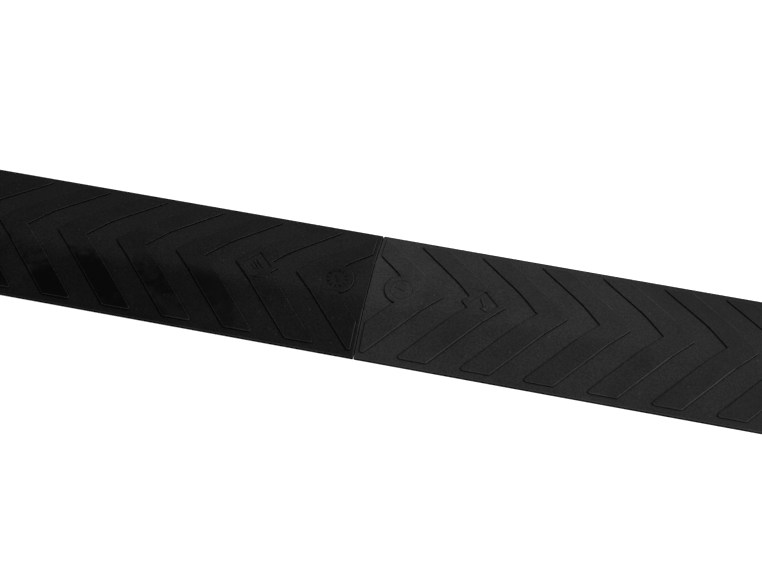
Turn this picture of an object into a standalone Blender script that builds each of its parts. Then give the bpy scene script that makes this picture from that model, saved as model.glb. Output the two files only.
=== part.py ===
"""Low modular rubber parking wheel stop: two equal moulded modules dowelled together end to end.

Frame: +X runs along the stop, +Y across it, +Z up. The origin is on the ground, midway along the
stop, where the two modules meet. Units are metres.
"""

import math

import bmesh
import bpy

# Overall form
TOTAL_LENGTH = 1.800
JOINT_GAP = 0.0008  # two moulded ends never quite close up
MODULE_LENGTH = (TOTAL_LENGTH - JOINT_GAP) / 2
MODULE_MIDDLE = (JOINT_GAP + MODULE_LENGTH) / 2  # distance of a module's middle from the joint
WIDTH = 0.150
CROWN_WIDTH = 0.0415  # between the two creases, before they are rounded
CROWN_HEIGHT = 0.0212
EDGE_HEIGHT = 0.0030  # thickness left at each long edge
CREASE_RADIUS = 0.040
EDGE_CHAMFER = 0.0007
END_CHAMFER = 0.0010
RAMP_SLOPE = (CROWN_HEIGHT - EDGE_HEIGHT) / ((WIDTH - CROWN_WIDTH) / 2)

# Chevron tread, raised on the crown and both ramps
TREAD_RISE = 0.0015
TREAD_COUNT = 7  # on each half of a module
TREAD_PITCH = 0.0613
TREAD_BAND = 0.0299  # measured along the stop
TREAD_SLOPE = 0.955  # along the stop, for each metre across it
FIRST_APEX = 0.0739
SIDE_MARGIN = 0.0065
END_MARGIN = 0.0047
TIP_RADIUS = 0.0022
APEX_RADIUS = 0.0012
TREAD_ENDS = WIDTH / 2 - SIDE_MARGIN

# Round boss on the first chevron, and square pad on the second
BOSS_CENTRE = 0.0323
BOSS_RADIUS = 0.0166
PAD_CENTRE = 0.1136
PAD_REACH = 0.0215  # centre to corner, along the stop
RECESS_REACH = 0.0145
RECESS_DEPTH = 0.0010

# Dowels across the joint, and the sockets in every module end
DOWEL_RADIUS = 0.0050
DOWEL_SPREAD = 0.0500
DOWEL_HEIGHT = 0.0095
SOCKET_RADIUS = 0.0053
SOCKET_DEPTH = 0.0390
SOCKET_SIDES = 16
DOWEL_END_PLAY = 0.0010
DOWEL_BREAK = 0.0008  # chamfer at each dowel end

# Anchor station in the middle of a module: boss, counterbore, bush and plug
CLEARANCE = 0.0003
ANCHOR_BOSS_RADIUS = 0.0210
COUNTERBORE_RADIUS = 0.0155
COUNTERBORE_FLOOR = 0.0095
BUSH_BORE = 0.0065
BUSH_RADIUS = 0.0085
FLANGE_RADIUS = 0.0120
FLANGE_THICKNESS = 0.0020
PLUG_TOP_THICKNESS = 0.0042
PLUG_WALL = 0.0029  # of the skirt, which stands around the bush's flange
ROUND_SIDES = 32

# Hollows in the underside
POCKET_ROWS = ((-0.035, 0.022, 0.0070), (0.0, 0.036, 0.0090), (0.035, 0.022, 0.0070))
POCKET_COLUMNS = 6  # on each half of a module
POCKET_START = 0.0520
POCKET_STOP = 0.4200
POCKET_RIB = 0.0080


def clear_scene():
    for obj in list(bpy.data.objects):
        bpy.data.objects.remove(obj)


def new_collection(name, hidden=False):
    collection = bpy.data.collections.new(name)
    bpy.context.scene.collection.children.link(collection)
    collection.hide_render = hidden
    return collection


def plain_material(name, colour, roughness, metallic):
    material = bpy.data.materials.new(name)
    material.use_nodes = True
    shader = material.node_tree.nodes["Principled BSDF"]
    shader.inputs["Base Color"].default_value = (*colour, 1.0)
    shader.inputs["Roughness"].default_value = roughness
    shader.inputs["Metallic"].default_value = metallic
    return material


def welded_mesh(obj):
    """The evaluated mesh of an object, with its loose caps joined to its sides."""
    graph = bpy.context.evaluated_depsgraph_get()
    mesh = bpy.data.meshes.new_from_object(obj.evaluated_get(graph))
    form = bmesh.new()
    form.from_mesh(mesh)
    bmesh.ops.remove_doubles(form, verts=form.verts, dist=1e-6)
    bmesh.ops.recalc_face_normals(form, faces=form.faces)
    form.to_mesh(mesh)
    form.free()
    return mesh


def helper(name, mesh, collection):
    """A cutter or an added form, kept out of the finished stop."""
    obj = bpy.data.objects.new(name, mesh)
    obj.hide_render = True
    obj.display_type = "WIRE"
    collection.objects.link(obj)
    return obj


def finished_mesh(name, form):
    mesh = bpy.data.meshes.new(name)
    form.to_mesh(mesh)
    form.free()
    return mesh


def rod(radius, length, sides):
    """A plain cylinder about its own middle, along Z."""
    form = bmesh.new()
    size = {"radius1": radius, "radius2": radius, "depth": length}
    bmesh.ops.create_cone(form, cap_ends=True, segments=sides, **size)
    return form


def flat_solid(name, outlines, low, high, collection, turn=(0.0, 0.0, 0.0)):
    """Closed outlines, extruded from low to high. With no turn, that is along Z."""
    curve = bpy.data.curves.new(name, "CURVE")
    curve.dimensions = "2D"
    curve.fill_mode = "BOTH"
    curve.extrude = (high - low) / 2
    for outline in outlines:
        spline = curve.splines.new("POLY")
        spline.points.add(len(outline) - 1)
        for point, (a, b) in zip(spline.points, outline):
            point.co = (a, b, 0.0, 1.0)
        spline.use_cyclic_u = True
    source = bpy.data.objects.new(name, curve)
    collection.objects.link(source)
    mesh = welded_mesh(source)
    bpy.data.objects.remove(source)
    obj = helper(name, mesh, collection)
    obj.rotation_euler = turn
    middle = (low + high) / 2
    obj.location = (middle, 0.0, 0.0) if any(turn) else (0.0, 0.0, middle)
    return obj


def combine(obj, other, operation):
    modifier = obj.modifiers.new(other.name, "BOOLEAN")
    modifier.operation = operation
    modifier.object = other


def fillet(points, radii, steps=4):
    """The closed outline with each corner of a radius above zero replaced by an arc."""
    outline = []
    for i, (corner, radius) in enumerate(zip(points, radii)):
        if radius <= 0.0:
            outline.append(corner)
            continue
        legs = []
        for other in (points[i - 1], points[(i + 1) % len(points)]):
            reach = math.dist(corner, other)
            legs.append(((other[0] - corner[0]) / reach, (other[1] - corner[1]) / reach))
        half = math.acos(legs[0][0] * legs[1][0] + legs[0][1] * legs[1][1]) / 2
        bisector = (legs[0][0] + legs[1][0], legs[0][1] + legs[1][1])
        scale = radius / math.sin(half) / math.hypot(*bisector)
        centre = (corner[0] + bisector[0] * scale, corner[1] + bisector[1] * scale)
        tangent = radius / math.tan(half)
        ends = [(corner[0] + leg[0] * tangent, corner[1] + leg[1] * tangent) for leg in legs]
        first, last = (math.atan2(e[1] - centre[1], e[0] - centre[0]) for e in ends)
        sweep = (last - first + math.pi) % (2 * math.pi) - math.pi
        for step in range(steps + 1):
            angle = first + sweep * step / steps
            x = centre[0] + radius * math.cos(angle)
            y = centre[1] + radius * math.sin(angle)
            outline.append((x, y))
    return outline


def cross_section(rise):
    """Outline across the stop (y, z): thin edges, two ramps and a flat crown, raised by rise."""
    crease_y = CROWN_WIDTH / 2
    top = CROWN_HEIGHT + rise
    edge = EDGE_HEIGHT + rise
    inset = EDGE_CHAMFER
    half = [
        (WIDTH / 2, 0.0, 0.0),
        (WIDTH / 2, edge - inset, 0.0),
        (WIDTH / 2 - inset, edge + inset * RAMP_SLOPE, 0.0),
        (crease_y, top, CREASE_RADIUS),
    ]
    corners = half + [(-y, z, radius) for y, z, radius in reversed(half)]
    return fillet([(y, z) for y, z, _ in corners], [radius for _, _, radius in corners])


def arm(apex, across):
    return apex - TREAD_SLOPE * abs(across)


def arc(centre, radius, start, stop, steps):
    points = []
    for step in range(steps + 1):
        angle = start + (stop - start) * step / steps
        points.append((centre + radius * math.cos(angle), radius * math.sin(angle)))
    return points


def chevron(index):
    """A plain chevron, as corners on its rear half and their mirror images on the front half."""
    apex = FIRST_APEX + index * TREAD_PITCH
    inner = apex - TREAD_BAND
    points = [
        (apex, 0.0),
        (arm(apex, TREAD_ENDS), TREAD_ENDS),
        (arm(inner, TREAD_ENDS), TREAD_ENDS),
        (inner, 0.0),
        (arm(inner, TREAD_ENDS), -TREAD_ENDS),
        (arm(apex, TREAD_ENDS), -TREAD_ENDS),
    ]
    return fillet(points, [APEX_RADIUS, APEX_RADIUS, TIP_RADIUS, 0.0, TIP_RADIUS, APEX_RADIUS])


def end_chevron():
    """The first chevron: cut off along the module's end, with a round boss in its notch."""
    inner = FIRST_APEX - TREAD_BAND
    cut_off = (inner - END_MARGIN) / TREAD_SLOPE
    offset = inner - BOSS_CENTRE
    a = 1 + TREAD_SLOPE**2
    b = TREAD_SLOPE * offset
    meet = (b + math.sqrt(b * b - a * (offset**2 - BOSS_RADIUS**2))) / a
    start = math.atan2(meet, arm(inner, meet) - BOSS_CENTRE)
    rear = [
        (arm(FIRST_APEX, TREAD_ENDS), TREAD_ENDS),
        (END_MARGIN, TREAD_ENDS),
        (END_MARGIN, cut_off),
    ]
    boss = arc(BOSS_CENTRE, BOSS_RADIUS, start, 2 * math.pi - start, 12)
    front = [(x, -y) for x, y in reversed(rear)]
    return [(FIRST_APEX, 0.0)] + rear + boss + front


def padded_chevron():
    """The second chevron, whose inner notch is filled by the corner of a square pad."""
    apex = FIRST_APEX + TREAD_PITCH
    inner = apex - TREAD_BAND
    corner = PAD_CENTRE - PAD_REACH
    meet = (inner - corner) / (2 * TREAD_SLOPE)
    rear = [
        (arm(apex, TREAD_ENDS), TREAD_ENDS),
        (arm(inner, TREAD_ENDS), TREAD_ENDS),
        (arm(inner, meet), meet),
    ]
    front = [(x, -y) for x, y in reversed(rear)]
    points = [(apex, 0.0)] + rear + [(corner, 0.0)] + front
    radii = [APEX_RADIUS, APEX_RADIUS, TIP_RADIUS, 0.0, APEX_RADIUS, 0.0, TIP_RADIUS, APEX_RADIUS]
    return fillet(points, radii)


def both_halves(outlines):
    """The outlines on the module's first half, and their mirror images on its second half."""
    flipped = [[(2 * MODULE_MIDDLE - x, y) for x, y in outline] for outline in outlines]
    return outlines + flipped


def tread_outlines():
    plain = [chevron(index) for index in range(2, TREAD_COUNT)]
    return both_halves([end_chevron(), padded_chevron()] + plain)


def pad_recesses():
    width = RECESS_REACH / TREAD_SLOPE
    square = [
        (PAD_CENTRE + RECESS_REACH, 0.0),
        (PAD_CENTRE, width),
        (PAD_CENTRE - RECESS_REACH, 0.0),
        (PAD_CENTRE, -width),
    ]
    return both_halves([square])


def disc(radius):
    return arc(MODULE_MIDDLE, radius, 0.0, 2 * math.pi * (1 - 1 / ROUND_SIDES), ROUND_SIDES - 1)


def chamfer_ends(obj):
    """Takes the sharp edge off both ends of a module, along the edge, the ramps and the crown."""
    form = bmesh.new()
    form.from_mesh(obj.data)
    half = MODULE_LENGTH / 2
    edges = []
    for edge in form.edges:
        on_end = all(abs(abs(vert.co.z) - half) < 1e-5 for vert in edge.verts)
        raised = max(vert.co.y for vert in edge.verts) > 1e-5
        if on_end and raised and len(edge.link_faces) == 2:
            edges.append(edge)
    bmesh.ops.bevel(form, geom=edges, offset=END_CHAMFER, segments=1, affect="EDGES")
    form.to_mesh(obj.data)
    form.free()


def socket_cutters(collection):
    reach = SOCKET_DEPTH + END_CHAMFER
    cutters = []
    for end in (JOINT_GAP / 2, JOINT_GAP / 2 + MODULE_LENGTH):
        inward = 1 if end < MODULE_MIDDLE else -1
        for side in (-1, 1):
            form = rod(SOCKET_RADIUS, reach, SOCKET_SIDES)
            cutter = helper("socket_cutter", finished_mesh("socket_cutter", form), collection)
            cutter.rotation_euler = (0.0, math.pi / 2, 0.0)
            middle = end + inward * (SOCKET_DEPTH - END_CHAMFER) / 2
            cutter.location = (middle, side * DOWEL_SPREAD / 2, DOWEL_HEIGHT)
            cutters.append(cutter)
    return cutters


def pocket_cutters(collection):
    run = POCKET_STOP - POCKET_START
    length = (run - POCKET_RIB * (POCKET_COLUMNS - 1)) / POCKET_COLUMNS
    form = bmesh.new()
    for column in range(POCKET_COLUMNS):
        centre = POCKET_START + length / 2 + column * (length + POCKET_RIB)
        for x in (centre, 2 * MODULE_MIDDLE - centre):
            for y, width, depth in POCKET_ROWS:
                made = bmesh.ops.create_cube(form, size=1.0)
                bmesh.ops.scale(form, vec=(length, width, 2 * depth), verts=made["verts"])
                bmesh.ops.translate(form, vec=(x, y, 0.0), verts=made["verts"])
    return helper("pocket_cutter", finished_mesh("pocket_cutter", form), collection)


def module_mesh(cutters):
    """One whole module, lying from the joint towards +X."""
    start = JOINT_GAP / 2
    stop = start + MODULE_LENGTH
    along_x = (math.pi / 2, 0.0, math.pi / 2)
    body = flat_solid("module_body", [cross_section(0.0)], start, stop, cutters, along_x)
    chamfer_ends(body)
    skin = flat_solid("tread_skin", [cross_section(TREAD_RISE)], start, stop, cutters, along_x)
    top = CROWN_HEIGHT + 2 * TREAD_RISE
    tread = flat_solid("tread_plan", tread_outlines(), EDGE_HEIGHT / 3, top, cutters)
    boss = flat_solid("anchor_boss", [disc(ANCHOR_BOSS_RADIUS)], EDGE_HEIGHT / 2, top, cutters)
    combine(tread, boss, "UNION")
    combine(tread, skin, "INTERSECT")
    combine(body, tread, "UNION")
    recess_floor = CROWN_HEIGHT + TREAD_RISE - RECESS_DEPTH
    recess = flat_solid("recess_cutter", pad_recesses(), recess_floor, top, cutters)
    counterbore = flat_solid(
        "counterbore_cutter", [disc(COUNTERBORE_RADIUS)], COUNTERBORE_FLOOR, top, cutters
    )
    hole = flat_solid("anchor_hole_cutter", [disc(BUSH_RADIUS + CLEARANCE)], -top, top, cutters)
    for cutter in (recess, counterbore, hole, pocket_cutters(cutters), *socket_cutters(cutters)):
        combine(body, cutter, "DIFFERENCE")
    bpy.context.view_layer.update()
    mesh = welded_mesh(body)
    mesh.transform(body.matrix_world)
    return mesh


def piece(name, mesh, material, collection):
    obj = bpy.data.objects.new(name, mesh)
    if not mesh.materials:
        mesh.materials.append(material)
    collection.objects.link(obj)
    return obj


def dowel_mesh():
    length = 2 * (SOCKET_DEPTH + JOINT_GAP / 2 - DOWEL_END_PLAY)
    form = rod(DOWEL_RADIUS, length, SOCKET_SIDES)
    rims = [edge for edge in form.edges if abs(edge.verts[0].co.z - edge.verts[1].co.z) < 1e-6]
    bmesh.ops.bevel(form, geom=rims, offset=DOWEL_BREAK, segments=1, affect="EDGES")
    return finished_mesh("dowel", form)


def turned_piece(name, profile, material, collection):
    """A ring turned about the vertical axis from its section (radius, height)."""
    form = bmesh.new()
    verts = [form.verts.new((radius, 0.0, height)) for radius, height in profile]
    for a, b in zip(verts, verts[1:] + verts[:1]):
        form.edges.new((a, b))
    obj = piece(name, finished_mesh(name, form), material, collection)
    turn = obj.modifiers.new("turn", "SCREW")
    turn.steps = ROUND_SIDES
    turn.render_steps = ROUND_SIDES
    turn.use_merge_vertices = True
    turn.merge_threshold = 1e-5
    turn.use_smooth_shade = False
    return obj


def bush_section():
    low = COUNTERBORE_FLOOR + CLEARANCE
    top = low + FLANGE_THICKNESS
    return [
        (BUSH_BORE, top),
        (FLANGE_RADIUS, top),
        (FLANGE_RADIUS, low),
        (BUSH_RADIUS, low),
        (BUSH_RADIUS, CLEARANCE),
        (BUSH_BORE, CLEARANCE),
    ]


def make_plug(name, material, collection):
    """A cap with a skirt: a disc that is hollowed from below."""
    top = CROWN_HEIGHT + TREAD_RISE
    low = COUNTERBORE_FLOOR + CLEARANCE
    form = rod(COUNTERBORE_RADIUS - CLEARANCE, top - low, ROUND_SIDES)
    bmesh.ops.translate(form, vec=(0.0, 0.0, (top + low) / 2), verts=form.verts)
    floor = [face for face in form.faces if face.normal.z < -0.9]
    bmesh.ops.inset_region(form, faces=floor, thickness=PLUG_WALL)
    moved = {vert for face in floor for vert in face.verts}
    bmesh.ops.extrude_discrete_faces(form, faces=floor)
    form.normal_update()
    sunk = [face for face in form.faces if face.normal.z < -0.9 and len(face.verts) == ROUND_SIDES]
    verts = {vert for face in sunk for vert in face.verts} - moved
    bmesh.ops.translate(form, vec=(0.0, 0.0, top - PLUG_TOP_THICKNESS - low), verts=list(verts))
    return piece(name, finished_mesh(name, form), material, collection)


def main():
    clear_scene()
    stop = new_collection("parking_wheel_stop")
    cutters = new_collection("cutters", hidden=True)
    rubber = plain_material("moulded_rubber", (0.016, 0.016, 0.017), 0.62, 0.0)
    plug_rubber = plain_material("plug_rubber", (0.020, 0.020, 0.021), 0.55, 0.0)
    steel = plain_material("galvanised_steel", (0.55, 0.56, 0.57), 0.38, 1.0)

    mesh = module_mesh(cutters)
    right = piece("right_module", mesh, rubber, stop)
    left = piece("left_module", mesh, rubber, stop)
    left.location.x = right.location.x - MODULE_LENGTH - JOINT_GAP

    dowel = dowel_mesh()
    for name, side in (("front_joint_dowel", -1), ("rear_joint_dowel", 1)):
        obj = piece(name, dowel, steel, stop)
        obj.rotation_euler = (0.0, math.pi / 2, 0.0)
        obj.location = (0.0, side * DOWEL_SPREAD / 2, DOWEL_HEIGHT)

    left_middle = MODULE_MIDDLE - MODULE_LENGTH - JOINT_GAP
    for side, middle in (("left", left_middle), ("right", MODULE_MIDDLE)):
        bush = turned_piece(side + "_anchor_bush", bush_section(), steel, stop)
        bush.location.x = middle
        plug = make_plug(side + "_anchor_plug", plug_rubber, stop)
        plug.location.x = middle


main()
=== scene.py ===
"""Low modular rubber wheel stop: two equal moulded modules, dowelled together end to end.

+X runs along the stop, +Y across it and +Z up, in metres. The modules meet at the origin.
"""

import math

import bmesh
import bpy
from mathutils import Matrix, Vector


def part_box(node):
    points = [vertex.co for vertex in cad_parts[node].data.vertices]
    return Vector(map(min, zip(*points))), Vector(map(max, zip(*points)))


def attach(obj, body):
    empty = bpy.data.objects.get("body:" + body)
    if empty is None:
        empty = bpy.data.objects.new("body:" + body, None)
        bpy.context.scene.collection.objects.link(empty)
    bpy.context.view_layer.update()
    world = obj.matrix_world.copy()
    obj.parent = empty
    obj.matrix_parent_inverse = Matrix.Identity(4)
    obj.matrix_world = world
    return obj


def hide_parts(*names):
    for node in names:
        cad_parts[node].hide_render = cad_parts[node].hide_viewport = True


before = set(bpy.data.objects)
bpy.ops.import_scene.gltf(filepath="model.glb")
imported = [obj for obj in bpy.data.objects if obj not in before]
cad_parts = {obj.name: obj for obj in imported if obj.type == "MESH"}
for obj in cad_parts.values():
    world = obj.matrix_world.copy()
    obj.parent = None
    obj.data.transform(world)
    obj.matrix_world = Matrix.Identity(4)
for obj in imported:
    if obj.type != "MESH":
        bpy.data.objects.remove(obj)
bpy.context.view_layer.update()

# ---------------------------------------------------------------------------------------------
# The strip: the plain body of one module, before its tread. It is compression moulded in one
# piece from black recycled rubber, thin along both edges and thickest along its flat crown.
# It is modelled about its own middle, and moved to its place once the whole module is done.
# ---------------------------------------------------------------------------------------------

MODULE_LOW, MODULE_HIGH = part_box("right_module")
MODULE_LENGTH = MODULE_HIGH.x - MODULE_LOW.x
MODULE_MIDDLE = (MODULE_HIGH.x + MODULE_LOW.x) / 2
WIDTH = MODULE_HIGH.y - MODULE_LOW.y
TREAD_RISE = 0.0015
CROWN_HEIGHT = MODULE_HIGH.z - TREAD_RISE
CROWN_WIDTH = 0.0415  # between the creases, before they are rounded
EDGE_HEIGHT = 0.0030
CREASE_RADIUS = 0.040
EDGE_ROUNDING = 0.0010
SAME = 1e-6  # how near two places are when they count as one
RAMP_ANGLE = math.atan((CROWN_HEIGHT - EDGE_HEIGHT) / ((WIDTH - CROWN_WIDTH) / 2))
CREASE_REACH = CREASE_RADIUS * math.tan(RAMP_ANGLE / 2)


def work_on(obj, mode="OBJECT"):
    """Makes obj the only selected object, and the active one."""
    if bpy.context.mode != "OBJECT":
        bpy.ops.object.mode_set(mode="OBJECT")
    bpy.ops.object.select_all(action="DESELECT")
    obj.select_set(True)
    bpy.context.view_layer.objects.active = obj
    bpy.ops.object.mode_set(mode=mode)
    return obj


def pick(kind, test):
    """In edit mode, selects only the faces, edges or vertices that pass the test."""
    bpy.ops.mesh.select_mode(type=kind)
    bpy.ops.mesh.select_all(action="DESELECT")
    mesh = bpy.context.object.data
    form = bmesh.from_edit_mesh(mesh)
    form.normal_update()
    elements = {"FACE": form.faces, "EDGE": form.edges, "VERT": form.verts}[kind]
    for element in elements:
        if test(element):
            element.select_set(True)
    bmesh.update_edit_mesh(mesh)


def settle(obj):
    """Puts the place, turn and size of an object into its mesh."""
    work_on(obj)
    bpy.ops.object.transform_apply(location=True, rotation=True, scale=True)
    return obj


def block(name, low, high):
    """A cube of a given size at a given place, open in edit mode."""
    middle = [(a + b) / 2 for a, b in zip(low, high)]
    size = [b - a for a, b in zip(low, high)]
    bpy.ops.object.select_all(action="DESELECT")
    bpy.ops.mesh.primitive_cube_add(size=1.0, location=middle, scale=size)
    obj = settle(bpy.context.object)
    obj.name = name
    return work_on(obj, "EDIT")


def strip(name, rise, reach):
    """The module's long body: a slab drawn up to the crown, with its creases rounded."""
    edge = EDGE_HEIGHT + rise
    obj = block(name, (-reach, -WIDTH / 2, 0.0), (reach, WIDTH / 2, edge))
    pick("FACE", lambda face: face.normal.z > 0.9)
    up = {"value": (0.0, 0.0, CROWN_HEIGHT - EDGE_HEIGHT)}
    bpy.ops.mesh.extrude_region_move(TRANSFORM_OT_translate=up)
    top = (0.0, 0.0, CROWN_HEIGHT + rise)
    bpy.ops.transform.resize(value=(1.0, CROWN_WIDTH / WIDTH, 1.0), center_override=top)
    pick("EDGE", lambda e: all(abs(v.co.z - top[2]) < SAME for v in e.verts) and runs_along(e))
    bpy.ops.mesh.bevel(offset=CREASE_REACH, segments=12, affect="EDGES")
    return work_on(obj)


def runs_along(edge):
    """An edge that runs along the stop rather than across it or up."""
    a, b = (vert.co for vert in edge.verts)
    return abs(a.x - b.x) > abs(a.y - b.y) + abs(a.z - b.z)


def round_outer_edges(obj):
    """Rounds both ends, and both long edges, where they meet the top of the strip."""
    work_on(obj, "EDIT")
    half = MODULE_LENGTH / 2

    def outer(edge):
        ends = [vert.co for vert in edge.verts]
        on_end = all(abs(abs(co.x) - half) < SAME for co in ends)
        on_side = all(abs(co.z - EDGE_HEIGHT) < SAME for co in ends) and runs_along(edge)
        return on_side or (on_end and max(co.z for co in ends) > SAME)

    pick("EDGE", outer)
    bpy.ops.mesh.bevel(offset=EDGE_ROUNDING, segments=4, affect="EDGES")
    return work_on(obj)


module = strip("module", 0.0, MODULE_LENGTH / 2)
round_outer_edges(module)

# ---------------------------------------------------------------------------------------------
# The tread: fourteen raised chevrons, moulded with the strip, which point away from each end
# of the module and follow its crown and ramps. The first one is cut off at the module's end and
# takes in a round boss, the second a square pad, and the last ones meet at the anchor boss.
# ---------------------------------------------------------------------------------------------

JOINT = -MODULE_MIDDLE  # the joint, as seen from the module's own middle
TREAD_COUNT = 7  # on each half
TREAD_PITCH = 0.0613
TREAD_BAND = 0.0299  # along the stop
TREAD_SLOPE = 0.955  # along the stop, for each metre across it
TREAD_ENDS = WIDTH / 2 - 0.0065
TREAD_ROOT = 0.0010  # where the treads start, inside the strip
FIRST_APEX = JOINT + 0.0739
END_MARGIN = JOINT + 0.0047
APEX_RADIUS = 0.0012
TIP_RADIUS = 0.0022
CORNER_RADIUS = 0.0010
RIM_ROUNDING = 0.0007
CLEAR_OF_TOP = CROWN_HEIGHT + 3 * TREAD_RISE
BOSS_CENTRE = JOINT + 0.0323
BOSS_RADIUS = 0.0166
PAD_CENTRE = JOINT + 0.1136
PAD_REACH = 0.0215  # from its centre to its corner, along the stop
CORNER_SEARCH = 2e-5  # how near its stated place a corner of a tread is looked for
ANCHOR_BOSS_RADIUS = 0.0210


def modify(obj, kind, **settings):
    """Adds a modifier with these settings, and applies it."""
    work_on(obj)
    bpy.ops.object.modifier_add(type=kind)
    modifier = obj.modifiers[-1]
    for key, value in settings.items():
        setattr(modifier, key, value)
    bpy.ops.object.modifier_apply(modifier=modifier.name)
    return obj


def combine(obj, tool, operation, solver="EXACT"):
    """Joins a tool to obj, cuts it away or keeps the shared part, and uses the tool up."""
    work_on(tool)
    modify(obj, "BOOLEAN", object=tool, operation=operation, solver=solver)
    bpy.data.objects.remove(tool)
    return obj


def arm(apex, across):
    """Where a tread's edge with this apex has got to, along the stop, at a distance across it."""
    return apex - TREAD_SLOPE * abs(across)


def chevron(index):
    """One tread as a block: an arm drawn from a plane, mirrored across the stop."""
    apex = FIRST_APEX + index * TREAD_PITCH
    size = (TREAD_BAND, TREAD_ENDS, 1.0)
    place = (apex - TREAD_BAND / 2, TREAD_ENDS / 2, TREAD_ROOT)
    bpy.ops.object.select_all(action="DESELECT")
    bpy.ops.mesh.primitive_plane_add(size=1.0, location=place)
    bpy.context.object.scale = size
    obj = settle(bpy.context.object)
    obj.name = "tread"
    work_on(obj, "EDIT")
    pick("EDGE", lambda e: all(abs(v.co.y - TREAD_ENDS) < SAME for v in e.verts))
    bpy.ops.transform.translate(value=(-TREAD_SLOPE * TREAD_ENDS, 0.0, 0.0))
    modify(obj, "MIRROR", use_axis=(False, True, False), merge_threshold=1e-5)
    work_on(obj, "EDIT")
    bpy.ops.mesh.select_all(action="SELECT")
    bpy.ops.mesh.normals_make_consistent(inside=False)
    raise_block(CLEAR_OF_TOP - TREAD_ROOT)
    return work_on(obj)


def raise_block(height):
    """In edit mode, turns a flat sheet into a closed block of this height."""
    bpy.ops.mesh.select_all(action="SELECT")
    bpy.ops.mesh.extrude_region_move(TRANSFORM_OT_translate={"value": (0.0, 0.0, height)})
    bpy.ops.mesh.select_all(action="SELECT")
    bpy.ops.mesh.normals_make_consistent(inside=False)


def is_upright(edge):
    """An edge that stands straight up."""
    a, b = (vert.co for vert in edge.verts)
    return math.hypot(a.x - b.x, a.y - b.y) < SAME


def round_corner(obj, x, y, radius, segments=5):
    """Rounds the upright edge at (x, y), and the one opposite it across the stop."""
    work_on(obj, "EDIT")
    angles = []

    def there(edge):
        a = edge.verts[0].co
        found = math.hypot(a.x - x, abs(a.y) - y) < CORNER_SEARCH and is_upright(edge)
        if found:
            angles.append(math.pi - edge.calc_face_angle())
        return found

    pick("EDGE", there)
    bpy.ops.mesh.bevel(offset=radius / math.tan(angles[0] / 2), segments=segments, affect="EDGES")
    return work_on(obj)


def post(x, radius, low, high, sides=64):
    """A round post standing at (x, 0). With four sides it is a square one, cornerwise on."""
    bpy.ops.object.select_all(action="DESELECT")
    size = {"radius": radius, "depth": high - low, "vertices": sides}
    bpy.ops.mesh.primitive_cylinder_add(location=(x, 0.0, (low + high) / 2), **size)
    obj = bpy.context.object
    if sides == 4:
        obj.scale.y = 1 / TREAD_SLOPE
    return settle(obj)


def round_leading_corners(obj, index):
    """Rounds the apex of a tread and the two corners at the ends of its leading edge."""
    apex = FIRST_APEX + index * TREAD_PITCH
    round_corner(obj, apex, 0.0, APEX_RADIUS)
    round_corner(obj, arm(apex, TREAD_ENDS), TREAD_ENDS, APEX_RADIUS)
    return obj


plain_treads = round_leading_corners(chevron(2), 2)
inner_tip = arm(FIRST_APEX + 2 * TREAD_PITCH - TREAD_BAND, TREAD_ENDS)
round_corner(plain_treads, inner_tip, TREAD_ENDS, TIP_RADIUS)
spacing = {"use_relative_offset": False, "use_constant_offset": True}
spacing["constant_offset_displace"] = (TREAD_PITCH, 0.0, 0.0)
modify(plain_treads, "ARRAY", count=TREAD_COUNT - 2, **spacing)

end_tread = round_leading_corners(chevron(0), 0)
work_on(end_tread, "EDIT")
bpy.ops.mesh.select_all(action="SELECT")
plane = {"plane_co": (END_MARGIN, 0.0, 0.0), "plane_no": (1.0, 0.0, 0.0)}
bpy.ops.mesh.bisect(clear_inner=True, use_fill=True, **plane)
round_corner(end_tread, END_MARGIN, TREAD_ENDS, APEX_RADIUS)
notch = (FIRST_APEX - TREAD_BAND - END_MARGIN) / TREAD_SLOPE
round_corner(end_tread, END_MARGIN, notch, CORNER_RADIUS)
combine(end_tread, post(BOSS_CENTRE, BOSS_RADIUS, TREAD_ROOT, CLEAR_OF_TOP), "UNION")

padded_tread = round_leading_corners(chevron(1), 1)
inner_tip = arm(FIRST_APEX + TREAD_PITCH - TREAD_BAND, TREAD_ENDS)
round_corner(padded_tread, inner_tip, TREAD_ENDS, TIP_RADIUS)
pad = post(PAD_CENTRE, PAD_REACH, TREAD_ROOT, CLEAR_OF_TOP, sides=4)
combine(padded_tread, pad, "UNION")
round_corner(padded_tread, PAD_CENTRE - PAD_REACH, 0.0, APEX_RADIUS)

work_on(plain_treads)
end_tread.select_set(True)
padded_tread.select_set(True)
bpy.ops.object.join()
treads = modify(plain_treads, "MIRROR", use_axis=(True, False, False), use_mirror_merge=False)
treads.name = "treads"
combine(treads, post(0.0, ANCHOR_BOSS_RADIUS, TREAD_ROOT, CLEAR_OF_TOP), "UNION")
combine(treads, strip("skin", TREAD_RISE, MODULE_LENGTH / 2), "INTERSECT")

TOP = CROWN_HEIGHT + TREAD_RISE
RECESS_REACH = 0.0145
RECESS_DEPTH = 0.0010
PANEL_FLOOR = TOP - RECESS_DEPTH
PANEL_CORNER = 0.0006
PANEL_FOOT = 0.0002


def sink_panel(centre):
    """Cuts a shallow square panel, with rounded corners and a soft edge around its floor."""
    panel = post(centre, RECESS_REACH, PANEL_FLOOR, CLEAR_OF_TOP, sides=4)
    work_on(panel, "EDIT")
    pick("EDGE", is_upright)
    bpy.ops.mesh.bevel(offset=PANEL_CORNER, segments=3, affect="EDGES")
    pick("EDGE", lambda e: all(abs(v.co.z - PANEL_FLOOR) < SAME for v in e.verts))
    bpy.ops.mesh.bevel(offset=PANEL_FOOT, segments=2, affect="EDGES")
    combine(treads, panel, "DIFFERENCE")


sink_panel(PAD_CENTRE)
sink_panel(-PAD_CENTRE)


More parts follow.
